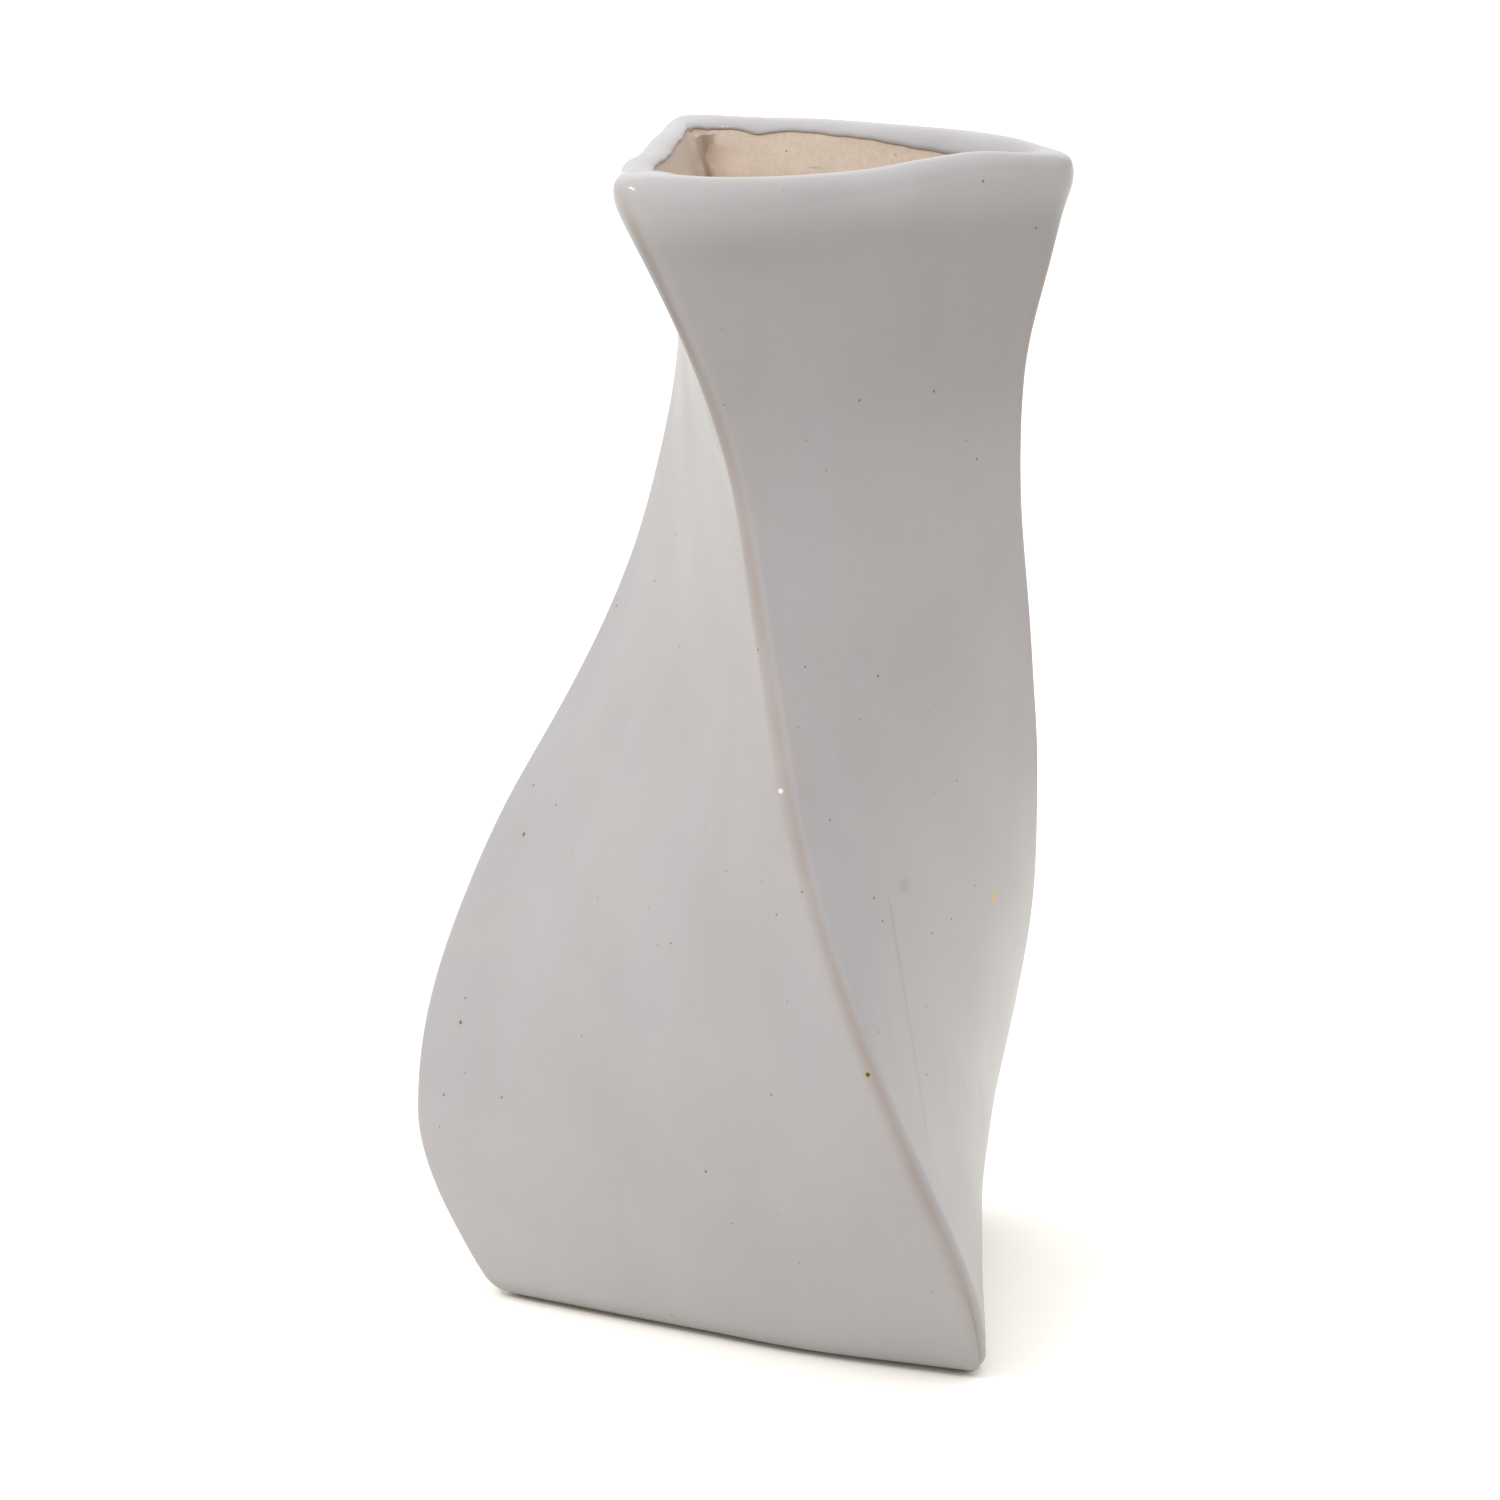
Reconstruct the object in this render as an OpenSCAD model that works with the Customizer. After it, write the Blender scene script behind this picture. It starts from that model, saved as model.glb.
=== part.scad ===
// Twisted triangular flower vase, slab-built from clay.
// A floor slab carries three rolled wall slabs, mitred along the ridges.
// Coils of clay back the floor joint and the three inside corners, a coil
// makes the rounded lip, and a glaze coat covers the outside and the lip.
// Millimetres. +Z up, foot on Z = 0, the widest front face looks along -Y.

/* [Overall] */
// nominal height of the rim at the centre
height = 200; // [150:1:280]
// centre to corner radius of the foot, before the corners are rounded
foot_r = 55; // [40:0.5:75]
// centre to corner radius at the widest level
belly_r = 67; // [50:0.5:90]
// centre to corner radius at the narrowest level
neck_r = 38.5; // [28:0.5:60]
// centre to corner radius at the rim
mouth_r = 48; // [32:0.5:75]

/* [Profile] */
// height of the widest level as a share of the height
belly_at = 0.15; // [0.08:0.01:0.3]
// height of the narrowest level as a share of the height
neck_at = 0.765; // [0.6:0.01:0.88]
// how quickly the foot swells into the belly, as a power
foot_swell = 1.6; // [1.2:0.1:3]
// how late the mouth flares, as a power
mouth_flare = 1.75; // [1.2:0.05:3]

/* [Twist] */
// direction of the front right ridge at the foot, degrees from +X
ridge_start = -57.5; // [-90:0.5:-30]
// turn of the section from foot to rim, degrees
turn = -68; // [-110:1:-20]
// extra turn of that ridge at the foot, degrees
ridge_lead = 2; // [-6:0.5:6]
// extra turn of that ridge in the upper half, degrees
ridge_upper = -1; // [-6:0.5:6]
// extra turn of that ridge where it runs out into the rim, degrees
ridge_sweep = -3.5; // [-10:0.5:6]

/* [Section] */
// rise of a side above its chord at the foot
bulge_foot = 2; // [0.5:0.1:6]
// rise of a side above its chord at the neck
bulge_neck = 0.6; // [0.3:0.1:5]
// rise of a side above its chord at the rim
bulge_mouth = 5; // [0.5:0.1:9]
// corner radius at the foot
foot_corner_r = 3.3; // [2:0.1:8]
// corner radius from the middle up
ridge_corner_r = 2.3; // [1.4:0.1:6]
// corner radius at the rim
rim_corner_r = 3.6; // [1.4:0.1:8]

/* [Clay] */
// thickness of the rolled wall slabs
wall_t = 4; // [3:0.1:7]
// thickness of the floor slab
floor_t = 6; // [4:0.1:10]
// radius that rounds the outer edge under the foot
foot_round = 4; // [1.5:0.1:4]
// height of the lip coil
lip_h = 7.5; // [5.5:0.1:12]
// how far the lip coil overhangs the wall on the inside
lip_overhang = 0.8; // [0.2:0.1:1.6]
// how much further the bead at the top of the lip leans in
lip_bead = 1.4; // [0.3:0.1:3]
// height of that bead on the inside
bead_h = 2.7; // [1.5:0.1:3.5]
// where the crest lies across the lip, as a share of its width
lip_crest = 0.64; // [0.4:0.01:0.75]
// height and width of the floor coil
floor_coil_h = 6; // [3:0.1:9]
// length of the wall that a corner coil covers on each side
seam_coil_leg = 7; // [4:0.1:10]

/* [Glaze] */
// thickness of the glaze coat
glaze_t = 0.5; // [0.3:0.1:1]
// share of the foot rounding that is left bare
bare_foot = 0.2; // [0.1:0.01:1]

/* [Rim] */
// rise of the rim towards +X, mm per mm
rim_rise_x = 0.014; // [-0.05:0.001:0.05]
// rise of the rim towards +Y, mm per mm
rim_rise_y = 0.014; // [-0.05:0.001:0.05]

/* [Detail] */
// vertical steps between the floor coil and the lip
wall_steps = 22; // [12:1:24]
// steps along each side between two corners
side_steps = 12; // [8:1:14]

/* [Hidden] */
corner_steps = 3;
lip_steps = 8;
per = 2 * corner_steps + side_steps;
around = 3 * per;
coil_reach = corner_steps + 1;
coil_edge = 0.4;
coil_land = 1.2;
coil_hollow = 0.35;
inner_corner_r = 0.8;
rim_inner_r = 1.7;
wall_in = glaze_t + wall_t;
lip_w = wall_t + lip_overhang;
rim_w = lip_w + lip_bead + 2 * glaze_t;
wall_top = height - lip_h;
floor_coil_top = floor_t + floor_coil_h;
// sideways lean of the section centre at equal height steps from foot to rim
lean = [[0.8, 1.6], [-2.9, 0.3], [-2.1, -1.1], [1.4, -0.6], [2.2, 0.3], [-0.1, 0.4]];
// The rim is pulled by hand: at the front left corner, the front side, the right
// corner, the rear side, the rear left corner and the left side.
rim_from = 0.8; // share of the height where that starts
rim_out = [0.7, -2.8, 1.8, 2.4, 2.9, -0.3];
rim_up = [0.7, -0.4, 1, 1.1, 0.6, 0.9];

clay = [0.72, 0.62, 0.52];
clay_wall = [0.75, 0.66, 0.57];
clay_coil = [0.68, 0.57, 0.48];
glaze = [0.84, 0.83, 0.86];

// --- helpers -------------------------------------------------------------

function mix(a, b, s) = a + (b - a) * s;
function clamp01(s) = min(1, max(0, s));
function ease(s) = let (c = clamp01(s)) c * c * (3 - 2 * c);

// smooth curve through equally spaced stations, t from 0 to 1
function through(list, t) =
    let (last = len(list) - 1, u = clamp01(t) * last, i = min(floor(u), last - 1), s = u - i,
         p0 = list[i], p1 = list[i + 1],
         m0 = i > 0 ? (p1 - list[i - 1]) / 2 : p1 - p0,
         m1 = i + 1 < last ? (list[i + 2] - p0) / 2 : p1 - p0)
    (2 * s * s * s - 3 * s * s + 1) * p0 + (s * s * s - 2 * s * s + s) * m0
    + (3 * s * s - 2 * s * s * s) * p1 + (s * s * s - s * s) * m1;

// smooth closed curve through equally spaced stations, u from 0 to 1
function round_through(list, u) =
    let (n = len(list), v = u * n, i = floor(v), s = v - i,
         p0 = list[i % n], p1 = list[(i + 1) % n],
         m0 = (p1 - list[(i + n - 1) % n]) / 2, m1 = (list[(i + 2) % n] - p0) / 2)
    (2 * s * s * s - 3 * s * s + 1) * p0 + (s * s * s - 2 * s * s + s) * m0
    + (3 * s * s - 2 * s * s * s) * p1 + (s * s * s - s * s) * m1;

// --- the outer shape at height share t -----------------------------------

function corner_radius_to_centre(t) =
    t < belly_at ? belly_r - (belly_r - foot_r) * pow((belly_at - t) / belly_at, foot_swell)
    : t < neck_at ? mix(belly_r, neck_r, ease((t - belly_at) / (neck_at - belly_at)))
    : neck_r + (mouth_r - neck_r) * pow((t - neck_at) / (1 - neck_at), mouth_flare);

function side_bulge(t) =
    t < neck_at ? mix(bulge_foot, bulge_neck, ease((t - belly_at) / (neck_at - belly_at)))
    : mix(bulge_neck, bulge_mouth, pow((t - neck_at) / (1 - neck_at), 2));

function rim_share(t) = ease((t - rim_from) / (1 - rim_from));

function corner_r(t) =
    mix(mix(foot_corner_r, ridge_corner_r, ease(2 * t)), rim_corner_r, pow(rim_share(t), 2));

function inner_r(t) = mix(inner_corner_r, rim_inner_r, pow(rim_share(t), 2));

function section_turn(t) = ridge_start + turn * t;

function extra_turn(t) =
    mix(ridge_lead, ridge_upper, ease((t - 0.25) / 0.6)) + ridge_sweep * ease((t - 0.74) / 0.2);

// the edge under the foot is rounded
function foot_inset(z) =
    z >= foot_round ? 0 : foot_round - sqrt(max(0, pow(foot_round, 2) - pow(foot_round - z, 2)));

// One third of the untwisted section, from the middle of corner 0 round to the
// middle of corner 1: half a corner arc, a side arc, half a corner arc.
// Every point lies inset inside the outer shape.
function third(t, inset) =
    let (R = corner_radius_to_centre(t), g = side_bulge(t),
         chord = R * sqrt(3), rho = (chord * chord / 4 + g * g) / (2 * g),
         m = R / 2 + g - rho, mx = m / 2, my = m * sqrt(3) / 2,
         rs = rho - inset, rf = max(corner_r(t) - inset, inner_r(t)),
         q = mx + sqrt(max(0, pow(rs - rf, 2) - my * my)),
         k = rs / (rs - rf), tx = mx + (q - mx) * k, ty = my * (1 - k),
         half = atan2(ty, tx - q), a0 = atan2(ty - my, tx - mx), sweep = 2 * (60 - a0),
         first = seam_coil_leg / chord)
    concat(
        [for (i = [0 : corner_steps - 1])
            let (a = half * i / corner_steps) [q + rf * cos(a), rf * sin(a)]],
        [for (i = [0 : side_steps])
            let (f = i == 0 ? 0 : i == side_steps ? 1
                     : mix(first, 1 - first, (i - 1) / (side_steps - 2)),
                 a = a0 + sweep * f) [mx + rs * cos(a), my + rs * sin(a)]],
        [for (i = [corner_steps - 1 : -1 : 1])
            let (a = 120 - half * i / corner_steps) [rf * cos(a), rf * sin(a)] + q * [cos(120), sin(120)]]);

// The whole section in place: twisted, leaned, and lifted with the rim's slope.
function ring(z, inset) =
    let (t = z / height, one = third(t, inset), turned = section_turn(t), extra = extra_turn(t),
         centre = through(lean, t), w = ease(2 * t - 1), rim = rim_share(t))
    [for (k = [0 : 2], p = one)
        let (a = atan2(p[1], p[0]) + 120 * k, r = norm(p) + rim * round_through(rim_out, a / 360),
             b = a + turned + extra * (1 + cos(a)) / 2,
             x = r * cos(b) + centre[0], y = r * sin(b) + centre[1])
        [x, y, z + w * (rim_rise_x * x + rim_rise_y * y) + rim * round_through(rim_up, a / 360)]];

// --- meshes --------------------------------------------------------------

// Triangles of a grid of rows by cols points that starts at index start. The
// diagonal always runs from (row, col) to (row + 1, col + 1).
function grid(start, rows, cols, flip = false, wrap = false) =
    [for (r = [0 : rows - 2], c = [0 : (wrap ? cols - 1 : cols - 2)])
        let (d = (c + 1) % cols, a = start + r * cols + c, b = start + (r + 1) * cols + c,
             e = start + (r + 1) * cols + d, f = start + r * cols + d)
        for (tri = [[a, b, e], [a, e, f]]) flip ? [tri[2], tri[1], tri[0]] : tri];

// Triangles joining two rows of points that start at indices p and s.
function zip(p, s, cols, flip = false, wrap = false) =
    [for (c = [0 : (wrap ? cols - 1 : cols - 2)])
        let (d = (c + 1) % cols)
        for (tri = [[p + c, s + c, s + d], [p + c, s + d, p + d]])
            flip ? [tri[2], tri[1], tri[0]] : tri];

// Triangles joining the ends of two grids, column c of each, row by row.
function edge(sa, sb, rows, cols, c, flip) =
    [for (r = [0 : rows - 2])
        let (a = sa + r * cols + c, b = sb + r * cols + c)
        for (tri = [[a, b, b + cols], [a, b + cols, a + cols]])
            flip ? [tri[2], tri[1], tri[0]] : tri];

// A closed ring. outer runs up the outside and, for a lip, over the top.
// inner, if given, runs up the inside.
module ring_body(outer, inner = []) {
    no = len(outer);
    ni = len(inner);
    ib = no * around;
    points = [for (row = concat(outer, inner)) for (p = row) p];
    faces = ni == 0
        ? concat(grid(0, no, around, false, true), zip((no - 1) * around, 0, around, false, true))
        : concat(grid(0, no, around, false, true), grid(ib, ni, around, true, true),
                 zip((no - 1) * around, ib + (ni - 1) * around, around, false, true),
                 zip(ib, 0, around, false, true));
    polyhedron(points, faces, convexity = 10);
}

// A closed slab between two sheets, each a list of rows from the bottom up.
module slab_body(outer, inner) {
    rows = len(outer);
    cols = len(outer[0]);
    ib = rows * cols;
    points = [for (row = concat(outer, inner)) for (p = row) p];
    faces = concat(grid(0, rows, cols), grid(ib, rows, cols, true),
                   zip((rows - 1) * cols, ib + (rows - 1) * cols, cols), zip(ib, 0, cols),
                   edge(0, ib, rows, cols, 0, false), edge(0, ib, rows, cols, cols - 1, true));
    polyhedron(points, faces, convexity = 10);
}

// --- levels --------------------------------------------------------------

foot_levels = [for (s = [0, 0.06, 0.2, 0.5, 1]) s * foot_round];
// closer together towards both ends, where the profile bends most
upper_levels = [for (i = [0 : wall_steps])
    let (u = i / wall_steps) mix(floor_coil_top, wall_top, mix(u, (1 - cos(180 * u)) / 2, 0.55))];
wall_levels = concat([floor_t], upper_levels);

// Height and inset of the lip's surface, g below the glaze, from the outside
// over the crest to the lower edge of the bead.
function lip_path(g) =
    [for (i = [0 : lip_steps])
        let (a = 180 * i / lip_steps, out = a <= 90, drop = out ? lip_h - 0.5 : bead_h,
             reach = rim_w * (out ? lip_crest : 1 - lip_crest))
        [height - drop * (1 - sin(a)) - g * sin(a), rim_w * lip_crest - reach * cos(a) + g * cos(a)]];

// height and inset of the clay under the bead, down to the wall
lip_under = [[height - bead_h - 0.7 * lip_bead, glaze_t + lip_w], [wall_top, glaze_t + lip_w]];

// --- the pieces ----------------------------------------------------------

module base_slab() {
    color(clay) render() intersection() {
        slab_levels = concat([-1], foot_levels, [floor_t]);
        rows = [for (z = slab_levels)
                   [for (p = ring(max(z, 0), foot_inset(max(z, 0)) + glaze_t)) [p[0], p[1], z]]];
        n = len(rows);
        polyhedron([for (row = rows) for (p = row) p],
                   concat(grid(0, n, around, false, true),
                          [[for (c = [0 : around - 1]) c]],
                          [[for (c = [around - 1 : -1 : 0]) (n - 1) * around + c]]));
        translate([-2 * belly_r, -2 * belly_r, 0]) cube([4 * belly_r, 4 * belly_r, floor_t]);
    }
}

module wall_slab(k) {
    cut = [for (c = [0 : per]) (k * per + c) % around];
    outer = [for (z = wall_levels) let (r = ring(z, glaze_t)) [for (c = cut) r[c]]];
    inner = [for (z = wall_levels) let (r = ring(z, wall_in)) [for (c = cut) r[c]]];
    color(clay_wall) slab_body(outer, inner);
}

module wall_slab_right() { wall_slab(0); }
module wall_slab_rear() { wall_slab(1); }
module wall_slab_front() { wall_slab(2); }

// a coil pressed into inside corner k and smoothed hollow
module seam_coil(k) {
    cut = [for (c = [-coil_reach : coil_reach]) (k * per + c + around) % around];
    n = 2 * coil_reach;
    outer = [for (z = upper_levels) let (r = ring(z, wall_in)) [for (c = cut) r[c]]];
    inner = [for (row = outer)
                let (a = row[0], b = row[n], corner = row[coil_reach], middle = (a + b) / 2,
                     inward = (middle - corner) / norm(middle - corner))
                [for (j = [0 : n])
                    let (s = j / n, hollow = 4 * s * (1 - s) * coil_hollow)
                    mix(a, b, s) + (corner - middle) * hollow + inward * coil_edge]];
    color(clay_coil) slab_body(outer, inner);
}

module seam_coil_front_right() { seam_coil(0); }
module seam_coil_rear() { seam_coil(1); }
module seam_coil_left() { seam_coil(2); }

// a coil pressed into the joint between the floor and the walls
module floor_coil() {
    h = floor_coil_h;
    path = [[0, h], [0.18 * h, 0.86 * h], [0.36 * h, 0.52 * h], [0.62 * h, 0.3 * h], [h, coil_land]];
    color(clay_coil)
        ring_body([for (z = [floor_t, floor_coil_top]) ring(z, wall_in)],
                  [for (p = path) ring(floor_t + p[0], wall_in + p[1])]);
}

module lip_coil() {
    path = concat([[wall_top, glaze_t]], lip_path(glaze_t), lip_under);
    color(clay_coil) ring_body([for (p = path) ring(p[0], p[1])]);
}

module glaze_coat() {
    start = bare_foot * foot_round;
    levels = concat([start], [for (z = foot_levels) if (z > start + 0.05) z], wall_levels);
    color(glaze) ring_body(
        concat([for (z = levels) ring(z, foot_inset(z))], [for (p = lip_path(0)) ring(p[0], p[1])]),
        concat([for (z = levels) ring(z, foot_inset(z) + glaze_t)],
               [for (p = lip_path(glaze_t)) ring(p[0], p[1])]));
}

base_slab();
wall_slab_front();
wall_slab_right();
wall_slab_rear();
floor_coil();
seam_coil_front_right();
seam_coil_left();
seam_coil_rear();
lip_coil();
glaze_coat();
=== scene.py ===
import math

import bpy
import mathutils
import numpy as np
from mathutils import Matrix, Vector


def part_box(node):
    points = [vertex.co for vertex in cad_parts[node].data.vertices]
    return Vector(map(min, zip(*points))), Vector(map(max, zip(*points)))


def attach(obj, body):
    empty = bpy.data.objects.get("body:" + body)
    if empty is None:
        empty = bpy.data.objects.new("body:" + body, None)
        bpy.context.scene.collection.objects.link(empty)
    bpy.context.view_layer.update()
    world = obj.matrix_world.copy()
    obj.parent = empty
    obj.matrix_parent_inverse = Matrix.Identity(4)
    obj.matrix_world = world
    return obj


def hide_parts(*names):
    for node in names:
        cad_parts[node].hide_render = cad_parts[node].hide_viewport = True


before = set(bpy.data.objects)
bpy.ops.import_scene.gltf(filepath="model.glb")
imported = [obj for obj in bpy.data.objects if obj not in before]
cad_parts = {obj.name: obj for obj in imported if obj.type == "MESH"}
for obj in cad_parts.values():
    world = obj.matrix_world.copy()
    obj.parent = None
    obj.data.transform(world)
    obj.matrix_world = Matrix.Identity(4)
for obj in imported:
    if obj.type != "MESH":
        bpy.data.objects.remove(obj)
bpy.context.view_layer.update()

# ---------------------------------------------------------------------------
# Sizes, in millimetres and degrees. In the functions below, t is a height as a share of HEIGHT,
# and turn and around go from 0 to 1 round the section: turn counts columns, around the angle.
# At the rim they start at the front left corner. The right corner is a third of the way round,
# and the rear left corner two thirds.
# ---------------------------------------------------------------------------
MM = 0.001
HEIGHT = 200.0                  # nominal height of the rim at the centre
FLOOR_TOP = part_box("base_slab")[1].z / MM
COIL_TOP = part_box("floor_coil")[1].z / MM
GLAZE = 0.5                     # thickness of the glaze
BURY = 0.12                     # how far the back of the glaze is sunk into the clay
GLAZE_START = 0.85              # mean height of the glaze's lower edge
WALL = 4.0                      # thickness of the wall slabs

# The section: a triangle with bowed sides and rounded corners
FOOT_R = 55.0                   # distance of its corners from the centre, at the foot
BELLY_R = 67.0
NECK_R = 38.5
MOUTH_R = 48.0
BELLY_AT = 0.15                 # share of the height of the widest place
NECK_AT = 0.765                 # share of the height of the narrowest place
FOOT_SWELL = 1.6                # power of the curve from foot to belly
MOUTH_FLARE = 1.75              # power of the curve from neck to mouth
BULGE_FOOT = 2.0                # how far the sides bow out
BULGE_NECK = 0.6
BULGE_MOUTH = 5.0
FOOT_CORNER_R = 3.3
RIDGE_CORNER_R = 2.3
RIM_CORNER_R = 6.0
INNER_CORNER_R = 0.8
RIM_INNER_R = 3.5               # inner corners of the lip

# Twist and lean
RIDGE_START = -57.5             # angle of the first ridge at the foot
TURN = -68.0                    # twist from foot to rim
RIDGE_LEAD = 2.0                # extra turn of the first ridge low down
RIDGE_UPPER = -1.0              # the same high up
RIDGE_SWEEP = -3.5              # what is added to it under the lip
LEAN = np.array([[0.8, 1.6], [-2.9, 0.3], [-2.1, -1.1], [1.4, -0.6], [2.2, 0.3], [-0.1, 0.4]])
RIM_RISE_X = 0.014              # slope of the rim
RIM_RISE_Y = 0.014

# The foot
FOOT_ROUND = 4.0                # rounding under the outer edge
FOOT_BOW = 2.0                  # local bow of the bottom edge
FOOT_BOW_AT = 0.935             # its place round the section
FOOT_BOW_WIDTH = 0.10           # its width
FOOT_BOW_HEIGHT = 16.0          # its reach upwards

# The lip
LIP_HEIGHT = 7.5
WALL_TOP = HEIGHT - LIP_HEIGHT
OVERHANG = 0.8                  # how far the lip hangs over the wall's inner face
BEAD = 1.4                      # how much further its bead leans in
LIP_WIDTH = WALL + OVERHANG + BEAD + 2 * GLAZE
CREST_SHARE = 0.64              # share of the lip's width outside its crest
OUTER_DROP = LIP_HEIGHT - 0.5   # how far its rounding reaches down outside
LEAN_IN_OVER = 14.0             # height over which the wall leans in towards the lip
INSIDE_DROP = 0.2               # how far the glaze runs on below the rounding inside
CORNER_FILL = 2.0               # clay smeared into the rear left corner
CORNER_FILL_AT = 0.69           # its place round the section
CORNER_FILL_WIDTH = 0.035       # its width
LIP_STEPS = 14                  # rows in a quarter of the lip's rounding

# The unevenness of the rim at equally spaced stations round the section, fitted to the object's
# outline: how far it is pulled outwards and upwards, how much wider the lip is than LIP_WIDTH,
# and how far the glaze runs down inside it.
RIM_FROM = 0.8                  # share of the height where it starts
RIM_OUT = np.array([1.8, 1.4, 0.0, -1.6, -2.3, -1.5, -0.2, 1.1, 3.1, 3.6, 3.9, 2.9,
                    2.2, 2.6, 3.7, 5.5, 6.0, 1.7, 0.2, 0.1, 0.2, 0.4, 1.1, 0.7])
RIM_UP = np.array([1.3, 0.5, -0.1, -0.4, -0.5, -0.1, 0.8, 1.4, 0.0, 1.0, 1.1, 1.1,
                   1.1, 1.0, 0.8, 0.2, 0.2, 1.3, 1.45, 1.2, 0.5, 0.3, 0.5, 0.2])
LIP_WIDE = np.array([2.3, -0.2, 0.0, 0.1, 0.0, 0.0, 0.1, -0.4, 0.2, -0.3, 0.0, 0.2])
EDGE_DEPTH = np.array([1.1, 2.5, 2.6, 2.5, 2.9, 3.8, 2.6, 2.0, 2.0, 1.5, 1.5, 1.8])

# The shallow valley under the lip: its height and depth at stations round the section
VALLEY_AT = np.array([184.0, 184.5, 185.5, 187.0, 188.5, 187.0,
                      186.0, 186.0, 186.0, 186.0, 186.0, 185.0])
VALLEY_DEEP = np.array([0.2, 0.8, 0.7, 0.7, 0.5, 0.5, 0.6, 0.5, 0.2, 0.5, 0.5, 0.4])
VALLEY_ABOVE = 5.0              # its reach upwards
VALLEY_BELOW = 13.0             # its reach downwards
VALLEY_PIT = 1.1                # how much deeper it is beside the front left corner
VALLEY_PIT_AT = 0.03            # place and width of that

# The coils in the inner corners
SEAM_TOP = WALL_TOP + 4.6
SEAM_SLANT = 2.2                # slant of their upper end
SEAM_SPREAD = 8                 # columns of each side that a coil covers next to its corner

# How far the ridges show through the glaze on each side
RIDGE_BEFORE = 2.6
RIDGE_AFTER = 1.5

# Slight waves: size, waves round the section, waves up the height, and phase
HAND_WAVES = ((0.16, 2, 2.3, 0.6), (0.12, 5, -3.7, 2.1), (0.07, 9, 6.1, 4.0))
FINGER_MARKS = ((0.22, 13, 9, 0.0), (0.16, 29, -17, 1.3), (0.10, 47, 31, 0.4))
# Drips in the glaze's inner edge: place, width and depth
DRIPS = ((0.602, 0.009, 0.62), (0.455, 0.02, 0.2), (0.705, 0.01, 0.35))

# Mesh columns and rows
CORNER_STEPS = 8                # columns in half a corner
SIDE_STEPS = 64
PER = 2 * CORNER_STEPS + SIDE_STEPS
AROUND = 3 * PER
WALL_ROWS = 150


# ---------------------------------------------------------------------------
# Shape
# ---------------------------------------------------------------------------
def mix(a, b, s):
    return a + (b - a) * s


def ease(s):
    s = np.clip(s, 0.0, 1.0)
    return s * s * (3 - 2 * s)


def hump(x, middle, width):
    return np.exp(-((x - middle) / width) ** 2)


def hermite(p0, p1, m0, m1, s):
    return ((2 * s**3 - 3 * s**2 + 1) * p0 + (s**3 - 2 * s**2 + s) * m0
            + (3 * s**2 - 2 * s**3) * p1 + (s**3 - s**2) * m1)


def through(stations, t):
    """Smooth curve through equally spaced stations, t from 0 to 1."""
    last = len(stations) - 1
    u = np.clip(t, 0.0, 1.0) * last
    i = np.minimum(u.astype(int), last - 1)
    p0, p1 = stations[i], stations[i + 1]
    before, after = stations[np.maximum(i - 1, 0)], stations[np.minimum(i + 2, last)]
    m0 = np.where((i == 0)[..., None], p1 - p0, (p1 - before) / 2)
    m1 = np.where((i + 1 == last)[..., None], p1 - p0, (after - p0) / 2)
    return hermite(p0, p1, m0, m1, (u - i)[..., None])


def around_through(stations, turn):
    """Smooth closed curve through equally spaced stations, turn from 0 to 1."""
    n = len(stations)
    u = np.mod(turn, 1.0) * n
    i = u.astype(int) % n
    before, p0 = stations[(i - 1) % n], stations[i]
    p1, after = stations[(i + 1) % n], stations[(i + 2) % n]
    return hermite(p0, p1, (p1 - before) / 2, (after - p0) / 2, u - np.floor(u))


def columns():
    """Third, part, share and turn of each column; the parts are half a corner, side, half a corner."""
    third = [(0, i / CORNER_STEPS) for i in range(CORNER_STEPS)]
    third += [(1, i / SIDE_STEPS) for i in range(SIDE_STEPS)]
    third += [(2, i / CORNER_STEPS) for i in range(CORNER_STEPS)]
    rows = [(k, part, share) for k in range(3) for part, share in third]
    k, part, share = np.array(rows).T
    return k, part.astype(int), share, np.arange(AROUND) / AROUND


THIRD, PART, SHARE, COLUMN_TURN = columns()


def corner_distance(t):
    drop = np.clip((BELLY_AT - t) / BELLY_AT, 0, None)
    low = BELLY_R - (BELLY_R - FOOT_R) * drop**FOOT_SWELL
    middle = mix(BELLY_R, NECK_R, ease((t - BELLY_AT) / (NECK_AT - BELLY_AT)))
    flare = np.clip((t - NECK_AT) / (1 - NECK_AT), 0, None)
    high = NECK_R + (MOUTH_R - NECK_R) * flare**MOUTH_FLARE
    return np.where(t < BELLY_AT, low, np.where(t < NECK_AT, middle, high))


def side_bulge(t):
    low = mix(BULGE_FOOT, BULGE_NECK, ease((t - BELLY_AT) / (NECK_AT - BELLY_AT)))
    flare = np.clip((t - NECK_AT) / (1 - NECK_AT), 0, None)
    return np.where(t < NECK_AT, low, mix(BULGE_NECK, BULGE_MOUTH, flare**2))


def foot_inset(z):
    """How far the rounding under the foot pulls the surface in."""
    drop = np.clip(FOOT_ROUND - z, 0, FOOT_ROUND)
    return FOOT_ROUND - np.sqrt(FOOT_ROUND**2 - drop**2)


def waves(table, t):
    a = 2 * np.pi * COLUMN_TURN
    b = 2 * np.pi * t
    return sum(size * np.sin(times * a + up * b + phase) for size, times, up, phase in table)


def hand_waves(t):
    """The unevenness of a hand-formed wall, never outside it, setting in over the first twelfth."""
    most = sum(row[0] for row in HAND_WAVES)
    return (waves(HAND_WAVES, t) - most) * ease(t * 12)


def valley(z, around):
    """Depth of the valley under the lip."""
    off = z - around_through(VALLEY_AT, around)
    reach = np.where(off > 0, VALLEY_ABOVE, VALLEY_BELOW)
    pit = VALLEY_PIT * hump(around, VALLEY_PIT_AT, VALLEY_PIT_AT)
    return (around_through(VALLEY_DEEP, around) + pit) * np.exp(-(off / reach) ** 2)


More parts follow.
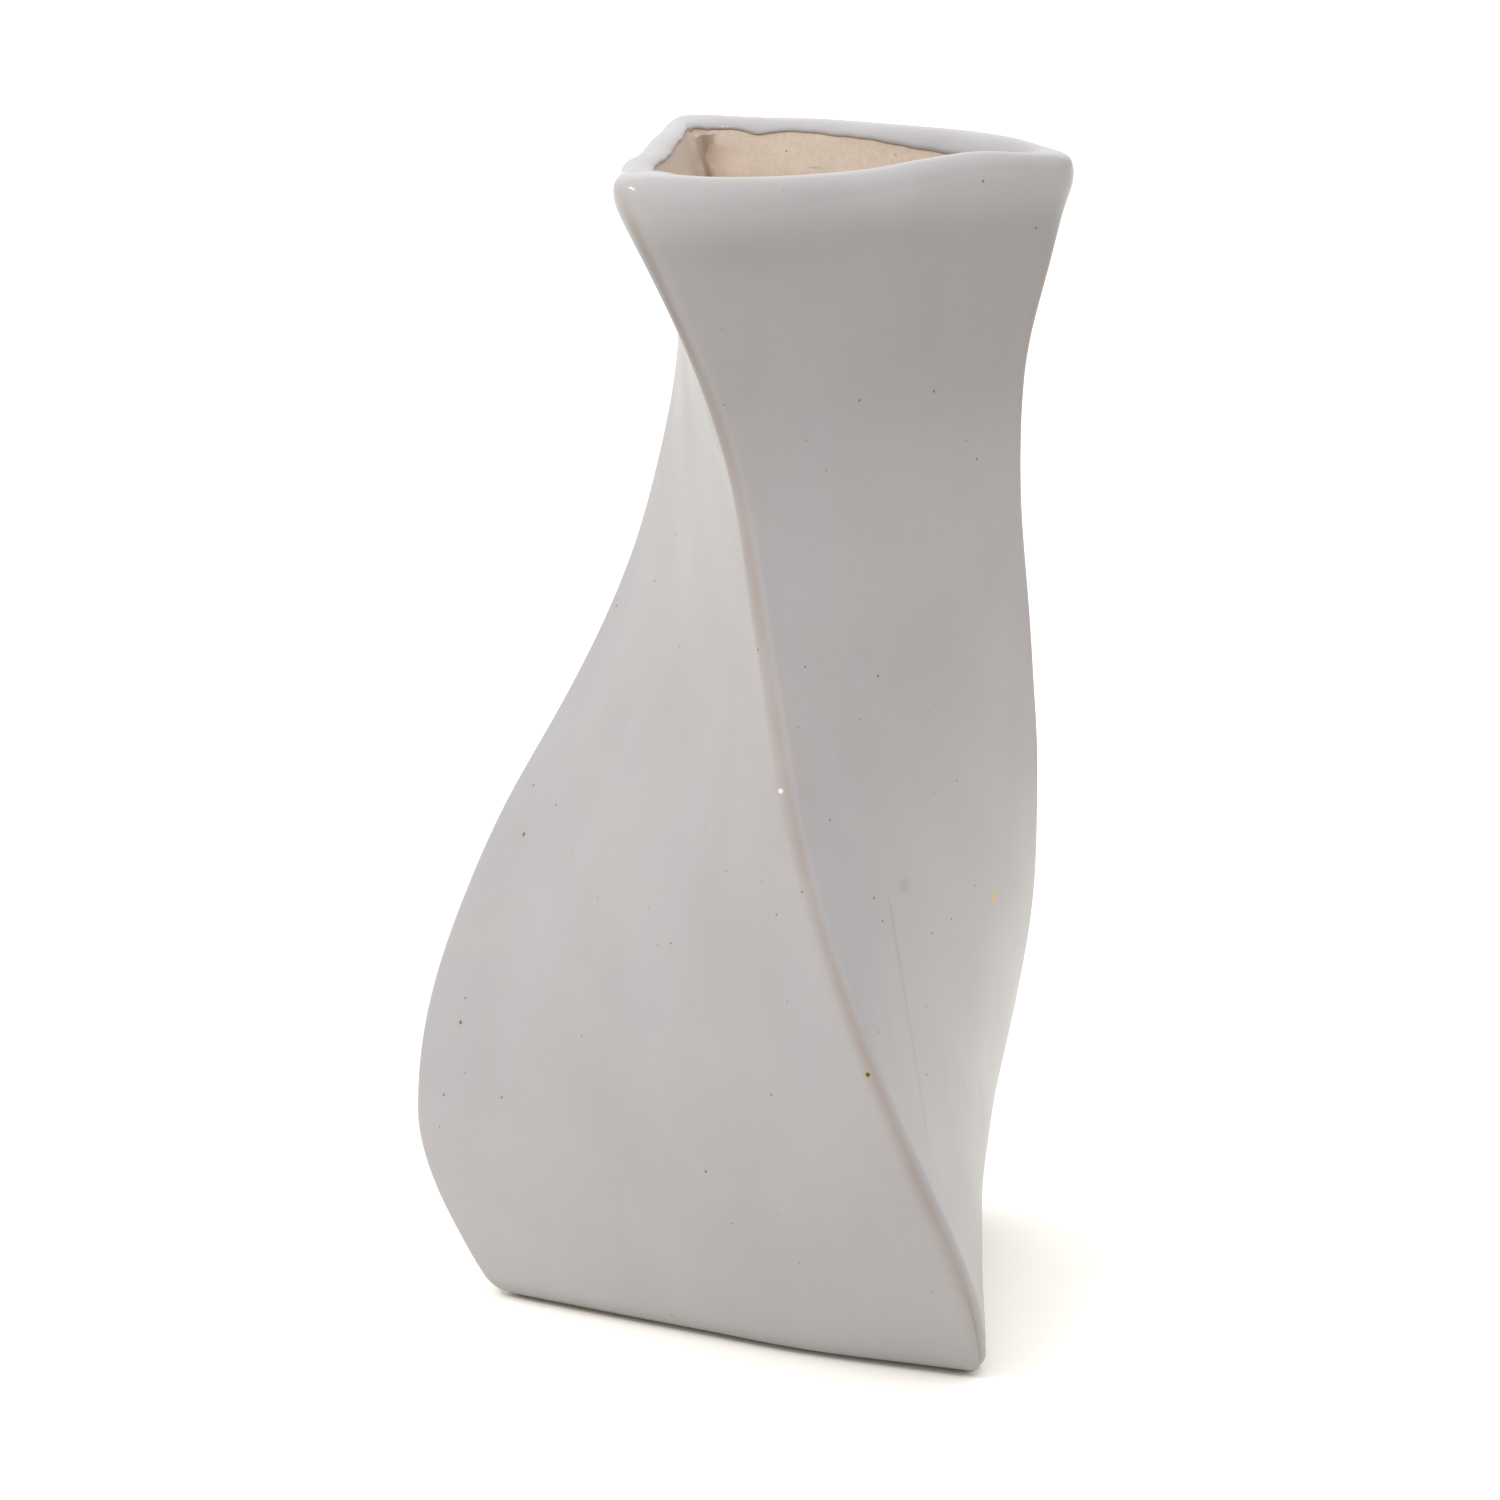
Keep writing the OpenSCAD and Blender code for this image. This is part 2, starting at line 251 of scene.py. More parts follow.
def foot_spread(z, around):
    """The bottom edge bows out a little in the right half of the left face."""
    return FOOT_BOW * hump(z, 0, FOOT_BOW_HEIGHT) * hump(around, FOOT_BOW_AT, FOOT_BOW_WIDTH)


def section(t, inset, rim):
    """x and y of the plain section, with every column turned into the first third."""
    radius, bulge = corner_distance(t), side_bulge(t)
    half_chord = radius * math.sqrt(3) / 2
    bow = (half_chord**2 + bulge**2) / (2 * bulge)
    centre = radius / 2 + bulge - bow
    mx, my = centre / 2, centre * math.sqrt(3) / 2
    side_r = bow - inset
    corner = mix(mix(FOOT_CORNER_R, RIDGE_CORNER_R, ease(2 * t)), RIM_CORNER_R, rim**3)
    corner_r = np.maximum(corner - inset, mix(INNER_CORNER_R, RIM_INNER_R, rim**3))
    # q is where the corner's arc has its centre, and (tx, ty) where it meets the side's arc
    q = mx + np.sqrt(np.maximum((side_r - corner_r) ** 2 - my**2, 0))
    k = side_r / (side_r - corner_r)
    tx, ty = mx + (q - mx) * k, my * (1 - k)
    half = np.arctan2(ty, tx - q)
    start = np.arctan2(ty - my, tx - mx)
    first = half * SHARE
    side = start + 2 * (np.pi / 3 - start) * SHARE
    second = 2 * np.pi / 3 - half * (1 - SHARE)
    x = np.choose(PART, [q + corner_r * np.cos(first),
                         mx + side_r * np.cos(side),
                         corner_r * np.cos(second) - q / 2])
    y = np.choose(PART, [corner_r * np.sin(first),
                         my + side_r * np.sin(side),
                         corner_r * np.sin(second) + q * math.sqrt(3) / 2])
    return x, y


def ridge_lead(t):
    return mix(RIDGE_LEAD, RIDGE_UPPER, ease((t - 0.25) / 0.6)) + RIDGE_SWEEP * ease((t - 0.74) / 0.2)


def place(z, inset):
    """Points of every column at heights z, inset below the outer surface."""
    z, inset = np.broadcast_arrays(np.asarray(z, float), np.asarray(inset, float))
    z = z * np.ones(AROUND)
    t = z / HEIGHT
    rim = ease((t - RIM_FROM) / (1 - RIM_FROM))
    x, y = section(t, inset - hand_waves(t), rim)
    polar = np.arctan2(y, x) + 2 * np.pi / 3 * THIRD
    around = polar / (2 * np.pi)
    r = np.hypot(x, y) + rim * around_through(RIM_OUT, around)
    r = r - valley(z, around) + foot_spread(z, around)
    lead = np.radians(ridge_lead(t)) * (1 + np.cos(polar)) / 2
    angle = polar + np.radians(RIDGE_START + TURN * t) + lead
    lean = through(LEAN, t)
    px = r * np.cos(angle) + lean[..., 0]
    py = r * np.sin(angle) + lean[..., 1]
    slope = ease(2 * t - 1) * (RIM_RISE_X * px + RIM_RISE_Y * py)
    return np.stack([px, py, z + slope + rim * around_through(RIM_UP, around)], -1)


def lip_extra():
    """How much wider the lip is than its nominal width."""
    return around_through(LIP_WIDE, COLUMN_TURN)


def lean_in(z):
    """How far the clay leans in towards the lip's inner edge, with the fill in the corner."""
    fill = CORNER_FILL * hump(COLUMN_TURN, CORNER_FILL_AT, CORNER_FILL_WIDTH)
    return (OVERHANG + BEAD + lip_extra() + fill) * ease((z - WALL_TOP + LEAN_IN_OVER) / LEAN_IN_OVER)


def glaze_start():
    """Height at which the glaze begins above the foot, a little wavy."""
    a = 2 * np.pi * COLUMN_TURN
    return GLAZE_START + 0.12 * np.sin(4 * a + 1.0) + 0.08 * np.sin(11 * a)


def glaze_edge():
    """Depth below the rim at which the glaze stops inside, with its drips."""
    a = 2 * np.pi * COLUMN_TURN
    drips = sum(depth * hump(COLUMN_TURN, at, width) for at, width, depth in DRIPS)
    ripple = 0.07 * np.sin(17 * a + 0.5) + 0.05 * np.sin(41 * a + 1.0)
    return around_through(EDGE_DEPTH, COLUMN_TURN) + drips + ripple


def lip_rows(below):
    """Heights and insets over the lip from outside to inside, below the glaze surface."""
    a = np.radians(np.linspace(0, 180, 2 * LIP_STEPS + 1))[:, None]
    outside = a <= np.pi / 2
    drop = np.where(outside, OUTER_DROP, glaze_edge() - INSIDE_DROP)
    crest = LIP_WIDTH * CREST_SHARE
    reach = np.where(outside, crest, LIP_WIDTH + lip_extra() - crest)
    z = HEIGHT - drop * (1 - np.sin(a)) - below * np.sin(a)
    return z, crest - reach * np.cos(a) + below * np.cos(a)


# ---------------------------------------------------------------------------
# Meshes
# ---------------------------------------------------------------------------
def grid_faces(rows, cols, start=0, wrap=True, flip=False):
    """Quads between the rows of a grid whose points begin at start."""
    last = cols if wrap else cols - 1
    r, c = np.meshgrid(np.arange(rows - 1), np.arange(last), indexing="ij")
    d = (c + 1) % cols
    quad = np.stack([r * cols + c, r * cols + d, (r + 1) * cols + d, (r + 1) * cols + c], -1)
    quad = quad.reshape(-1, 4) + start
    return quad[:, ::-1] if flip else quad


def row_faces(a, b, cols, wrap=True):
    """Quads between two rows whose points begin at a and b."""
    c = np.arange(cols if wrap else cols - 1)
    d = (c + 1) % cols
    return np.stack([a + c, a + d, b + d, b + c], -1)


def make_object(name, points, faces, material):
    mesh = bpy.data.meshes.new(name)
    mesh.from_pydata((points * MM).tolist(), [], [list(map(int, face)) for face in faces])
    mesh.validate()
    mesh.polygons.foreach_set("use_smooth", [True] * len(mesh.polygons))
    mesh.set_sharp_from_angle(angle=math.radians(38))
    mesh.update()
    obj = bpy.data.objects.new(name, mesh)
    bpy.context.scene.collection.objects.link(obj)
    mesh.materials.append(material)
    return obj


def add_attribute(obj, name, values):
    attribute = obj.data.attributes.new(name, "FLOAT", "POINT")
    attribute.data.foreach_set("value", np.asarray(values, np.float32).ravel())


def ring_body(outer, inner):
    """Points and faces of a closed ring between two stacks of rows."""
    rows_o, rows_i, cols = len(outer), len(inner), outer.shape[1]
    start = rows_o * cols
    points = np.concatenate([outer.reshape(-1, 3), inner.reshape(-1, 3)])
    faces = np.concatenate([
        grid_faces(rows_o, cols),
        grid_faces(rows_i, cols, start, flip=True),
        row_faces((rows_o - 1) * cols, start + (rows_i - 1) * cols, cols),
        row_faces(start, 0, cols)])
    return points, faces


def slab_body(outer, inner):
    """Points and faces of a closed slab between two sheets."""
    rows, cols = outer.shape[:2]
    start = rows * cols
    points = np.concatenate([outer.reshape(-1, 3), inner.reshape(-1, 3)])
    r = np.arange(rows - 1) * cols
    left = np.stack([r, r + cols, start + r + cols, start + r], -1)
    right = np.stack([r, start + r, start + r + cols, r + cols], -1) + cols - 1
    faces = np.concatenate([
        grid_faces(rows, cols, wrap=False),
        grid_faces(rows, cols, start, wrap=False, flip=True),
        row_faces((rows - 1) * cols, start + (rows - 1) * cols, cols, wrap=False),
        row_faces(start, 0, cols, wrap=False), left, right])
    return points, faces


# ---------------------------------------------------------------------------
# Materials
# ---------------------------------------------------------------------------
class Nodes:
    """A new material, and short names for the shader nodes that it uses."""

    def __init__(self, name):
        self.material = bpy.data.materials.new(name)
        self.material.use_nodes = True
        self.tree = self.material.node_tree
        self.tree.nodes.clear()
        self.shader = self.add("ShaderNodeBsdfPrincipled")
        output = self.add("ShaderNodeOutputMaterial")
        self.link(self.shader.outputs[0], output.inputs[0])
        self.object = self.add("ShaderNodeTexCoord").outputs["Object"]
        axes = self.add("ShaderNodeSeparateXYZ")
        self.link(self.object, axes.inputs[0])
        self.across, self.away, self.height = axes.outputs

    def add(self, kind, **values):
        node = self.tree.nodes.new(kind)
        for key, value in values.items():
            setattr(node, key, value)
        return node

    def link(self, a, b):
        self.tree.links.new(a, b)

    def put(self, socket, value):
        if isinstance(value, bpy.types.NodeSocket):
            self.link(value, socket)
        else:
            socket.default_value = value

    def math(self, operation, a, b=0.0, clamp=False):
        node = self.add("ShaderNodeMath", operation=operation, use_clamp=clamp)
        self.put(node.inputs[0], a)
        self.put(node.inputs[1], b)
        return node.outputs[0]

    def times(self, a, b):
        return self.math("MULTIPLY", a, b)

    def ramp(self, value, low, high, to_low=0.0, to_high=1.0):
        node = self.add("ShaderNodeMapRange", interpolation_type="SMOOTHSTEP")
        for i, v in enumerate((value, low, high, to_low, to_high)):
            self.put(node.inputs[i], v)
        return node.outputs[0]

    def blend(self, factor, a, b):
        node = self.add("ShaderNodeMix", data_type="RGBA")
        self.put(node.inputs[0], factor)
        self.put(node.inputs[6], a)
        self.put(node.inputs[7], b)
        return node.outputs[2]

    def noise(self, scale, detail=2.0, rough=0.5, stretch=None):
        node = self.add("ShaderNodeTexNoise")
        self.link(self.mapped(stretch), node.inputs["Vector"])
        node.inputs["Scale"].default_value = scale
        node.inputs["Detail"].default_value = detail
        node.inputs["Roughness"].default_value = rough
        return node.outputs[0]

    def mapped(self, stretch=None, shift=None):
        if stretch is None and shift is None:
            return self.object
        node = self.add("ShaderNodeMapping")
        self.link(self.object, node.inputs[0])
        node.inputs["Location"].default_value = shift or (0, 0, 0)
        node.inputs["Scale"].default_value = stretch or (1, 1, 1)
        return node.outputs[0]

    def attribute(self, name):
        return self.add("ShaderNodeAttribute", attribute_name=name).outputs["Fac"]

    def specks(self, scale, size, chance, shift=None):
        """Scattered round spots: 1 in the middle of a speck, 0 outside."""
        cells = self.add("ShaderNodeTexVoronoi", feature="F1")
        self.link(self.mapped(shift=shift), cells.inputs["Vector"])
        cells.inputs["Scale"].default_value = scale
        split = self.add("ShaderNodeSeparateColor")
        self.link(cells.outputs["Color"], split.inputs[0])
        chosen = self.math("LESS_THAN", split.outputs[0], chance)
        reach = self.ramp(split.outputs[1], 0.0, 1.0, size * scale * 0.45, size * scale)
        near = self.math("SUBTRACT", 1.0, self.math("DIVIDE", cells.outputs["Distance"], reach), True)
        return self.times(self.ramp(near, 0.0, 0.5), chosen)

    def mark(self, point, radii, core):
        """One soft spot at a point of the surface, both in millimetres."""
        off = self.add("ShaderNodeVectorMath", operation="SUBTRACT")
        self.link(self.object, off.inputs[0])
        off.inputs[1].default_value = [v * MM for v in point]
        scaled = self.add("ShaderNodeVectorMath", operation="DIVIDE")
        self.link(off.outputs[0], scaled.inputs[0])
        scaled.inputs[1].default_value = [v * MM for v in radii]
        length = self.add("ShaderNodeVectorMath", operation="LENGTH")
        self.link(scaled.outputs[0], length.inputs[0])
        return self.ramp(length.outputs["Value"], core, 1.0, 1.0, 0.0)

    def bump(self, height, distance, strength):
        node = self.add("ShaderNodeBump")
        node.inputs["Strength"].default_value = strength
        node.inputs["Distance"].default_value = distance
        self.link(height, node.inputs["Height"])
        self.link(node.outputs[0], self.shader.inputs["Normal"])


# Colours of the glaze
GLAZE_COOL = (0.244, 0.232, 0.235, 1)
GLAZE_WARM = (0.260, 0.245, 0.240, 1)
GLAZE_STREAK = (0.258, 0.255, 0.268, 1)
GLAZE_THIN = (0.208, 0.174, 0.158, 1)       # over the ridges
GLAZE_GRAIN = (0.22, 0.21, 0.205, 1)
GLAZE_EDGE = (0.33, 0.245, 0.16, 1)
# painted light: paler glaze at the foot, standing in for light bounced up from the floor
GLAZE_FOOT_BOUNCE_LIGHT = (0.33, 0.315, 0.305, 1)
# painted shade: darker glaze for the neck's downward-facing flare
GLAZE_NECK_SHADE = (0.10, 0.095, 0.095, 1)
SPECK_HALO = (0.24, 0.19, 0.08, 1)
SPECK_DARK = (0.045, 0.038, 0.026, 1)
SPECK_FAINT = (0.13, 0.11, 0.10, 1)
HALO = (0.26, 0.20, 0.07, 1)
SPOT = (0.035, 0.03, 0.022, 1)
IRON = (0.42, 0.25, 0.03, 1)
SMUDGE = (0.13, 0.13, 0.14, 1)
PALE = (0.52, 0.49, 0.46, 1)
NICK = (0.09, 0.09, 0.09, 1)

# Single marks in the glaze: point, radii (both in millimetres), core, strength and colour
MARKS = (
    ((11.7, -59.3, 57.6), (1.1, 1.1, 1.1), 0.3, 0.55, HALO),
    ((11.7, -59.3, 57.6), (0.48, 0.48, 0.48), 0.5, 0.95, SPOT),
    ((-58.1, 5.9, 47.4), (0.9, 0.9, 0.9), 0.3, 0.40, HALO),
    ((-58.1, 5.9, 47.4), (0.42, 0.42, 0.42), 0.5, 0.85, SPOT),
    ((-47.1, 12.0, 79.5), (0.9, 0.9, 1.0), 0.3, 0.45, HALO),
    ((-47.1, 12.0, 79.5), (0.40, 0.40, 0.50), 0.5, 0.90, SPOT),
    ((34.0, 8.1, 69.5), (1.4, 1.4, 1.5), 0.3, 0.85, IRON),
    ((18.1, -28.4, 81.2), (3.2, 3.2, 1.9), 0.1, 0.30, SMUDGE),
    ((31.9, -12.5, 22.5), (0.9, 0.9, 0.4), 0.4, 0.70, NICK),
    ((34.5, 14.7, 37.0), (0.8, 0.8, 0.8), 0.4, 0.60, NICK),
    ((-2.6, -47.6, 102.1), (0.7, 0.7, 0.6), 0.3, 0.80, PALE),
)

# From here on, lengths in the materials are in metres.
# A hairline in the glaze of the front face lies where across + HAIR_SLOPE * height = HAIR_AT.
HAIR_SLOPE = 0.173
HAIR_AT = 0.0293
HAIR_WIDTH = 0.0004
HAIR_LOW = (0.040, 0.048)       # heights between which it fades in
HAIR_HIGH = (0.0825, 0.079)     # and out again

# Colours of the bare clay
CLAY_DARK = (0.40, 0.325, 0.262)
CLAY_LIGHT = (0.445, 0.365, 0.295)
CLAY_PATCH = (0.43, 0.335, 0.285)
CLAY_SMEAR = (0.335, 0.27, 0.21)
CLAY_GRAIN = (0.31, 0.245, 0.185)
# painted shade in the creases of the inner corners
CLAY_CREASE_SHADE = (0.20, 0.135, 0.085, 1)
CLAY_PIT = (0.16, 0.11, 0.07, 1)


def hairline(n):
    """1 on the hairline, on the front only."""
    off = n.math("SUBTRACT", n.math("ADD", n.across, n.times(n.height, HAIR_SLOPE)), HAIR_AT)
    line = n.ramp(n.math("ABSOLUTE", off), 0.0, HAIR_WIDTH, 1.0, 0.0)
    span = n.times(n.ramp(n.height, *HAIR_LOW), n.ramp(n.height, *HAIR_HIGH))
    return n.times(n.times(line, span), n.math("LESS_THAN", n.away, 0.0))


def glaze_ground(n, cloud):
    """Clouding, upright streaks, thin ridges, grain and the brown line at the edge."""
    streak = n.noise(60.0, stretch=(1.0, 1.0, 0.18))
    broken = n.times(n.attribute("ridge"), n.ramp(n.noise(90.0), 0.2, 0.6, 0.6, 1.0))
    grain = n.noise(420.0, 3.0, 0.6)
    color = n.blend(n.ramp(cloud, 0.35, 0.68), GLAZE_COOL, GLAZE_WARM)
    color = n.blend(n.ramp(streak, 0.42, 0.66, 0.0, 0.35), color, GLAZE_STREAK)
    color = n.blend(n.times(broken, 0.85), color, GLAZE_THIN)
    color = n.blend(n.ramp(grain, 0.3, 0.75, 0.0, 0.12), color, GLAZE_GRAIN)
    return n.blend(n.attribute("edge"), color, GLAZE_EDGE)


def glaze_specks(n, color):
    """Scattered iron specks: halos, dark ones and faint ones."""
    color = n.blend(n.times(n.specks(235.0, 0.00055, 0.20), 0.30), color, SPECK_HALO)
    color = n.blend(n.times(n.specks(235.0, 0.00034, 0.70), 0.80), color, SPECK_DARK)
    faint = n.specks(210.0, 0.00030, 0.45, (0.31, 0.17, 0.05))
    return n.blend(n.times(faint, 0.22), color, SPECK_FAINT)


def glaze_marks(n, color):
    color = n.blend(n.times(hairline(n), 0.26), color, SMUDGE)
    for point, radii, core, strength, mark_color in MARKS:
        color = n.blend(n.times(n.mark(point, radii, core), strength), color, mark_color)
    return color


def glaze_painted_light_by_height(n, color):
    """Painted light by height: a paler foot as painted light bounced up from the floor, and a slightly
    darker neck as painted shade on its downward-facing flare.
    """
    # painted bounce light from the floor, strongest at the bottom edge
    color = n.blend(n.ramp(n.height, 0.045, 0.005, 0.0, 0.35), color, GLAZE_FOOT_BOUNCE_LIGHT)
    # painted shade on the neck and on the flare under the lip
    neck_shade = n.times(n.ramp(n.height, 0.13, 0.175), n.ramp(n.height, 0.196, 0.188))
    return n.blend(n.times(neck_shade, 0.25), color, GLAZE_NECK_SHADE)


def glaze_material():
    """A satin glaze under a clear coat, which is strongest on the lip."""
    n = Nodes("glaze_grey_lilac")
    cloud = n.noise(38.0, 3.0, 0.55)
    color = glaze_marks(n, glaze_specks(n, glaze_ground(n, cloud)))
    n.put(n.shader.inputs["Base Color"], glaze_painted_light_by_height(n, color))
    n.put(n.shader.inputs["Roughness"], n.ramp(cloud, 0.3, 0.7, 0.34, 0.42))
    n.put(n.shader.inputs["Specular IOR Level"], 0.15)
    n.put(n.shader.inputs["Coat Weight"], n.ramp(n.height, 0.184, 0.196, 0.12, 0.5))
    n.put(n.shader.inputs["Coat IOR"], 1.45)
    n.put(n.shader.inputs["Coat Roughness"], 0.05)
    peel = n.noise(230.0)
    n.bump(n.math("ADD", n.times(peel, 0.7), n.times(cloud, 1.5)), 0.00012, 0.5)
    return n.material


def clay_material(name, tint):
    """Bare fired clay with clouding, patches, smears, grain and pits, and painted shade in the
    creases.
    """
    n = Nodes(name)
    cloud = n.noise(55.0, 3.0, 0.6)
    grain = n.noise(900.0, 4.0, 0.7)
    smear = n.noise(140.0, 3.0, 0.6, (0.35, 0.35, 1.6))
    patch = n.noise(24.0)
    pits = n.specks(260.0, 0.00030, 0.30, (0.13, 0.4, 0.2))

    def tinted(color):
        return tuple(value * share for value, share in zip(color, tint)) + (1,)

    color = n.blend(n.ramp(cloud, 0.3, 0.7), tinted(CLAY_DARK), tinted(CLAY_LIGHT))
    color = n.blend(n.ramp(patch, 0.50, 0.70, 0.0, 0.6), color, tinted(CLAY_PATCH))
    color = n.blend(n.ramp(smear, 0.45, 0.75, 0.0, 0.30), color, tinted(CLAY_SMEAR))
    color = n.blend(n.ramp(grain, 0.35, 0.75, 0.0, 0.35), color, tinted(CLAY_GRAIN))
    # painted shade in the creases, where the crease attribute is set
    color = n.blend(n.attribute("crease_shade"), color, CLAY_CREASE_SHADE)
    color = n.blend(n.times(pits, 0.65), color, CLAY_PIT)
    n.put(n.shader.inputs["Base Color"], color)
    n.put(n.shader.inputs["Roughness"], n.ramp(grain, 0.2, 0.8, 0.78, 0.95))
    height = n.math("SUBTRACT", n.math("ADD", n.times(grain, 0.6), cloud), pits)
    n.bump(height, 0.00025, 0.6)
    return n.material


def floor_material():
    n = Nodes("floor_white")
    n.put(n.shader.inputs["Base Color"], (0.76, 0.74, 0.695, 1))
    n.put(n.shader.inputs["Roughness"], 0.9)
    return n.material


# ---------------------------------------------------------------------------
# Pieces
# ---------------------------------------------------------------------------
def ridge_nearness(points):
    """1 on the ridges, falling to 0 at their reach along the surface, row by row."""
    result = np.zeros(points.shape[:2])
    half = SIDE_STEPS // 3
    for k in range(3):
        at = (k * PER - half + np.arange(2 * SIDE_STEPS // 3 + 1)) % AROUND
        step = np.linalg.norm(np.diff(points[:, at], axis=1), axis=2)
        along = np.concatenate([np.zeros((len(points), 1)), np.cumsum(step, axis=1)], axis=1)
        off = along - along[:, half][:, None]
        reach = np.where(off < 0, RIDGE_BEFORE, RIDGE_AFTER)
        result[:, at] = np.maximum(result[:, at], np.clip(1 - np.abs(off) / reach, 0, 1))
    return ease(result)


def mark_glaze(piece, outer, z, outside):
    """Mark the ridges, which fade out from 9 to 1 mm below the rim, and the inner edge."""
    edge_line = 0.32
    ridge = ridge_nearness(outer) * (1 - ease((z - HEIGHT + 9) / 8))
    edge = np.where(outside, 0, 1 - np.clip((z - z[-1]) / edge_line, 0, 1))
    add_attribute(piece, "ridge", np.concatenate([ridge, ridge]))
    add_attribute(piece, "edge", np.concatenate([edge, edge]))


def glaze_piece(material):
    """The coat from just above the foot over the lip to its edge inside."""
    low_top, low_fade, inside_fade = 6.0, 1.1, 1.0
    start = glaze_start()
    low = mix(start, low_top, np.linspace(0, 1, 9)[:, None])
    body = np.linspace(low_top, HEIGHT - OUTER_DROP, 190)[1:-1, None] * np.ones(AROUND)
    lip, lip_inset = lip_rows(0.0)
    inside = lip[-1] - INSIDE_DROP * np.linspace(0, 1, 5)[1:, None]
    inner_inset = np.broadcast_to(LIP_WIDTH + lip_extra(), inside.shape)
    z = np.concatenate([low, body, lip, inside])
    inset = np.concatenate([foot_inset(low), np.zeros_like(body), lip_inset, inner_inset])
    outside = (np.arange(len(z)) < len(low) + len(body) + len(lip) // 2)[:, None]
    # the coat thins out in a rounded bead at its lower edge and inside the lip
    rise = np.where(outside, (z - start) / low_fade, (z - inside[-1]) / inside_fade)
    thin = GLAZE * (1 - np.sqrt(1 - (1 - np.clip(rise, 0, 1)) ** 2))
    outer = place(z, inset + np.where(outside, thin, -thin))
    depth = GLAZE + BURY
    back_lip, back_lip_inset = lip_rows(depth)
    back_z = np.concatenate([low, body, back_lip, inside])
    back_inset = np.concatenate([foot_inset(low) + depth, np.full_like(body, depth),
                                 back_lip_inset, inner_inset - depth])
    points, faces = ring_body(outer, place(back_z, back_inset))
    piece = make_object("glaze_coat_skin", points, faces, material)
    mark_glaze(piece, outer, z, outside)
    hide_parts("glaze_coat")
    return piece, "glaze"


def wall_piece(name, node, k, material):
    """The slab of one side, from the middle of its first corner to that of its second."""
    cols = np.arange(k * PER, (k + 1) * PER + 1) % AROUND
    z = np.linspace(FLOOR_TOP, WALL_TOP, WALL_ROWS)[:, None]
    outer = place(z, GLAZE)[:, cols]
    top = ease((z - WALL_TOP + LEAN_IN_OVER) / LEAN_IN_OVER)
    fingers = (1 - 0.8 * top) * waves(FINGER_MARKS, z / HEIGHT)
    inner = place(z, GLAZE + WALL + lean_in(z) + fingers)[:, cols]
    points, faces = slab_body(outer, inner)
    piece = make_object(name, points, faces, material)
    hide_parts(node)
    return piece, "bare_clay"


def coil_face(edge, corner_column, press):
    """The coil's free face: a curve from one edge to the other, pressed towards the corner."""
    first, last = edge[:, :1], edge[:, -1:]
    corner = edge[:, corner_column:corner_column + 1]
    s = np.linspace(0, 1, edge.shape[1])[None, :, None]
    return mix(first, last, s) + (corner - (first + last) / 2) * 4 * s * (1 - s) * press[..., None]


def coil_painted_shade(up, top, s):
    """Painted shade: brown along the coil's side near its top, and on its upper end."""
    line = hump(s, 0.66, 0.10) * ease((up - WALL_TOP + 12) / 8)
    painted_shade = 0.8 * hump(s, 0.60, 0.34) * ease((up - top + 6.5) / 6.5)
    return np.maximum(line, painted_shade)


def seam_piece(name, node, k, material):
    """A coil pressed into a corner; its top end is cut aslant and smeared into the lip."""
    span = CORNER_STEPS + SEAM_SPREAD
    cols = np.arange(k * PER - span, k * PER + span + 1) % AROUND
    s = np.linspace(0, 1, len(cols))
    top = SEAM_TOP - SEAM_SLANT * (1 - s)
    up = mix(COIL_TOP, top, np.linspace(0, 1, WALL_ROWS)[:, None])
    z = np.zeros((WALL_ROWS, AROUND))
    z[:, cols] = up
    outer = place(z, GLAZE + WALL - 0.3 + lean_in(z))[:, cols]
    sink = 0.5 * ease((z - top.min() + 3) / 7)
    edge = place(z, GLAZE + WALL - 0.05 - sink + lean_in(z))[:, cols]
    a = 2 * np.pi * up / HEIGHT
    press = 0.40 + 0.06 * np.sin(21 * a + k) + 0.04 * np.sin(47 * a)
    press = mix(press, 0.95, ease((up - top + 6.0) / 6.0))
    points, faces = slab_body(outer, coil_face(edge, span, press))
    piece = make_object(name, points, faces, material)
    # painted shade along the coil's side and on its upper end
    crease_shade = coil_painted_shade(up, top, s)
    add_attribute(piece, "crease_shade", np.concatenate([crease_shade, crease_shade]))
    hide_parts(node)
    return piece, "bare_clay"


def floor_coil_piece(material):
    """The coil in the joint of floor and walls, with a hollow face."""
    height = COIL_TOP - FLOOR_TOP
    outer = place(np.array([[FLOOR_TOP], [COIL_TOP]]), GLAZE + WALL - 0.2)
    a = np.radians(np.linspace(0, 90, 14))[:, None]
    up = height * (1 - np.cos(a)) * 0.98
    reach = 1.0 + (height - 1.0) * (1 - np.sin(a))
    inner = place(FLOOR_TOP + up, GLAZE + WALL + reach)
    points, faces = ring_body(outer, inner)
    piece = make_object("floor_joint_coil", points, faces, material)
    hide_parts("floor_coil")
    return piece, "bare_clay"


def lip_piece(material):
    """The clay of the lip: a closed loop of rows on top of the walls, with painted shade in one
    corner.
    """
    z, inset = lip_rows(GLAZE)
    level = np.full((1, AROUND), WALL_TOP)
    under = z[-1:] - 0.5 * BEAD
    inner = GLAZE + WALL + lean_in(level)
    rows = np.concatenate([level, z, under, level])
    insets = np.concatenate([np.full_like(level, GLAZE), inset, inner, inner])
    points = place(rows, insets)
    closing = row_faces((len(rows) - 1) * AROUND, 0, AROUND)
    faces = np.concatenate([grid_faces(len(rows), AROUND), closing])
    piece = make_object("rolled_lip_coil", points.reshape(-1, 3), faces, material)
    # painted shade in the rear left inner corner under the lip
    painted_shade = 0.75 * hump(COLUMN_TURN, CORNER_FILL_AT - 0.01, 0.028)
    add_attribute(piece, "crease_shade", np.broadcast_to(painted_shade, rows.shape))
    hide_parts("lip_coil")
    return piece, "bare_clay"


